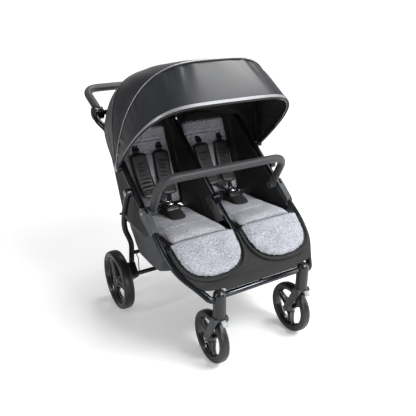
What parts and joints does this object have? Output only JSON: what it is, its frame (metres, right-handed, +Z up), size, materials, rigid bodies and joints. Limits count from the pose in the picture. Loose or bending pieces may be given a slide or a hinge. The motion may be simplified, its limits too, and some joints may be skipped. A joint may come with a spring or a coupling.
{
  "type": "double stroller",
  "caption": "Side-by-side double stroller with one wide canopy, two quilted grey seats with calf rests, a foam bumper bar and handle, swivel front wheels and a basket.",
  "frame": {"origin": "on the floor below the middle of the bounding box", "axes": "+X across, to the right in the front view, +Y to the rear (handle), +Z up; the front wheels face -Y"},
  "size_m": [0.7366, 0.9906, 1.0414],
  "materials": {
    "frame_metal": "satin",
    "grey_plastic": "satin",
    "black_plastic": "satin",
    "tyre_rubber": "matte",
    "grip_foam": "matte",
    "heather_cloth": "matte",
    "charcoal_cloth": "matte",
    "black_cloth": "matte",
    "silver_piping": "satin",
    "tab_plastic": "satin"
  },
  "bodies": {
    "front_frame": {"lower_tube_left": "frame_metal", "lower_tube_right": "frame_metal", "front_crossbar": "frame_metal", "caster_housing_left": "grey_plastic", "caster_housing_right": "grey_plastic", "joint_cover_left": "grey_plastic", "joint_cover_right": "grey_plastic", "centre_tube_lower": "frame_metal", "seat_deck_left": "black_cloth", "seat_deck_right": "black_cloth", "seat_pad_left": "heather_cloth", "seat_pad_right": "heather_cloth", "front_panel": "charcoal_cloth", "basket": "charcoal_cloth", "buckle_left": "black_plastic", "buckle_right": "black_plastic"},
    "handle_frame": {"upper_tube_left": "frame_metal", "upper_tube_right": "frame_metal", "centre_tube_upper": "frame_metal", "back_cross_tube": "frame_metal", "side_panel_left": "black_cloth", "side_panel_right": "black_cloth", "seat_divider": "black_cloth", "canopy_rear_bow": "silver_piping", "canopy_cover": "charcoal_cloth"},
    "handle": {"handle_tube": "frame_metal", "handle_grip": "grip_foam"},
    "rear_frame": {"rear_leg_left": "frame_metal", "rear_leg_right": "frame_metal", "rear_bracket_left": "black_plastic", "rear_bracket_right": "black_plastic", "rear_axle_bar": "frame_metal", "rear_stretcher": "frame_metal", "brake_cable": "black_plastic"},
    "brake": {"brake_pedal": "black_plastic"},
    "bumper": {"bumper_bar": "grip_foam"},
    "canopy_front": {"canopy_front_bow": "silver_piping"},
    "canopy_mid": {"canopy_mid_bow": "silver_piping"},
    "handle_button_left_body": {"handle_button_left": "black_plastic"},
    "rear_wheel_left": {"rear_rim_left": "grey_plastic", "rear_tyre_left": "tyre_rubber"},
    "caster_left": {"caster_fork_left": "grey_plastic"},
    "front_wheel_left": {"front_rim_left": "grey_plastic", "front_tyre_left": "tyre_rubber"},
    "swivel_lock_left_body": {"swivel_lock_left": "tab_plastic"},
    "back_left": {"back_pad_left": "heather_cloth", "shoulder_pads_left": "black_cloth"},
    "calf_left": {"calf_rest_left": "heather_cloth"},
    "buckle_button_left_body": {"buckle_button_left": "tab_plastic"},
    "handle_button_right_body": {"handle_button_right": "black_plastic"},
    "rear_wheel_right": {"rear_rim_right": "grey_plastic", "rear_tyre_right": "tyre_rubber"},
    "caster_right": {"caster_fork_right": "grey_plastic"},
    "front_wheel_right": {"front_rim_right": "grey_plastic", "front_tyre_right": "tyre_rubber"},
    "swivel_lock_right_body": {"swivel_lock_right": "tab_plastic"},
    "back_right": {"back_pad_right": "heather_cloth", "shoulder_pads_right": "black_cloth"},
    "calf_right": {"calf_rest_right": "heather_cloth"},
    "buckle_button_right_body": {"buckle_button_right": "tab_plastic"}
  },
  "joints": [
    {"name": "frame_fold", "type": "hinge", "parent": "front_frame", "child": "handle_frame", "pos_m": [0, -0.115, 0.515], "axis": [1, 0, 0], "range_deg": [0, 100], "deforming": ["side_panel_left", "side_panel_right", "seat_divider", "basket"]},
    {"name": "rear_frame_fold", "type": "hinge", "parent": "handle_frame", "child": "rear_frame", "pos_m": [0, -0.03309, 0.57236], "axis": [1, 0, 0], "range_deg": [-125, 0]},
    {"name": "handle_tilt", "type": "hinge", "parent": "handle_frame", "child": "handle", "pos_m": [0, 0.29867, 0.80466], "axis": [1, 0, 0], "range_deg": [-50, 40]},
    {"name": "brake_press", "type": "hinge", "parent": "rear_frame", "child": "brake", "pos_m": [0.215, 0.048, 0.17], "axis": [1, 0, 0], "range_deg": [-22, 0]},
    {"name": "bumper_swing", "type": "hinge", "parent": "front_frame", "child": "bumper", "pos_m": [0, -0.115, 0.515], "axis": [1, 0, 0], "range_deg": [0, 60]},
    {"name": "canopy_fold", "type": "hinge", "parent": "handle_frame", "child": "canopy_front", "pos_m": [0, 0.06112, 0.63832], "axis": [1, 0, 0], "range_deg": [-30, 0], "deforming": ["canopy_cover"]},
    {"name": "canopy_mid_fold", "type": "hinge", "parent": "handle_frame", "child": "canopy_mid", "pos_m": [0, 0.06112, 0.63832], "axis": [1, 0, 0], "range_deg": [-9, 0]},
    {"name": "handle_button_left_press", "type": "slide", "parent": "handle_frame", "child": "handle_button_left_body", "axis": [1, 0, 0], "range_m": [0, 0.003], "stiffness_N_per_m": 400},
    {"name": "rear_wheel_left_spin", "type": "hinge", "parent": "rear_frame", "child": "rear_wheel_left", "pos_m": [-0.3463, 0.108, 0.128], "axis": [1, 0, 0], "continuous": true},
    {"name": "caster_left_swivel", "type": "hinge", "parent": "front_frame", "child": "caster_left", "pos_m": [-0.185, -0.445, 0.2193], "axis": [0, 0, 1], "continuous": true},
    {"name": "front_wheel_left_spin", "type": "hinge", "parent": "caster_left", "child": "front_wheel_left", "pos_m": [-0.185, -0.3937, 0.1016], "axis": [1, 0, 0], "continuous": true},
    {"name": "swivel_lock_left_flip", "type": "hinge", "parent": "caster_left", "child": "swivel_lock_left_body", "pos_m": [-0.185, -0.4723, 0.213], "axis": [1, 0, 0], "range_deg": [0, 20]},
    {"name": "back_left_recline", "type": "hinge", "parent": "handle_frame", "child": "back_left", "pos_m": [0, 0.125, 0.43], "axis": [1, 0, 0], "range_deg": [-35, 0]},
    {"name": "calf_left_raise", "type": "hinge", "parent": "front_frame", "child": "calf_left", "pos_m": [0, -0.263, 0.4635], "axis": [1, 0, 0], "range_deg": [-35, 0]},
    {"name": "buckle_button_left_press", "type": "slide", "parent": "front_frame", "child": "buckle_button_left_body", "axis": [0, 0, -1], "range_m": [0, 0.003], "stiffness_N_per_m": 300},
    {"name": "handle_button_right_press", "type": "slide", "parent": "handle_frame", "child": "handle_button_right_body", "axis": [-1, 0, 0], "range_m": [0, 0.003], "stiffness_N_per_m": 400},
    {"name": "rear_wheel_right_spin", "type": "hinge", "parent": "rear_frame", "child": "rear_wheel_right", "pos_m": [0.3463, 0.108, 0.128], "axis": [1, 0, 0], "continuous": true},
    {"name": "caster_right_swivel", "type": "hinge", "parent": "front_frame", "child": "caster_right", "pos_m": [0.185, -0.445, 0.2193], "axis": [0, 0, 1], "continuous": true},
    {"name": "front_wheel_right_spin", "type": "hinge", "parent": "caster_right", "child": "front_wheel_right", "pos_m": [0.185, -0.3937, 0.1016], "axis": [1, 0, 0], "continuous": true},
    {"name": "swivel_lock_right_flip", "type": "hinge", "parent": "caster_right", "child": "swivel_lock_right_body", "pos_m": [0.185, -0.4723, 0.213], "axis": [1, 0, 0], "range_deg": [0, 20]},
    {"name": "back_right_recline", "type": "hinge", "parent": "handle_frame", "child": "back_right", "pos_m": [0, 0.125, 0.43], "axis": [1, 0, 0], "range_deg": [-35, 0]},
    {"name": "calf_right_raise", "type": "hinge", "parent": "front_frame", "child": "calf_right", "pos_m": [0, -0.263, 0.4635], "axis": [1, 0, 0], "range_deg": [-35, 0]},
    {"name": "buckle_button_right_press", "type": "slide", "parent": "front_frame", "child": "buckle_button_right_body", "axis": [0, 0, -1], "range_m": [0, 0.003], "stiffness_N_per_m": 300}
  ],
  "couplings": [
    {"joint": "rear_frame_fold", "follows": "frame_fold", "ratio": -1.25},
    {"joint": "canopy_mid_fold", "follows": "canopy_fold", "ratio": 0.3},
    {"joint": "bumper_swing", "follows": "frame_fold", "ratio": 0.6}
  ]
}
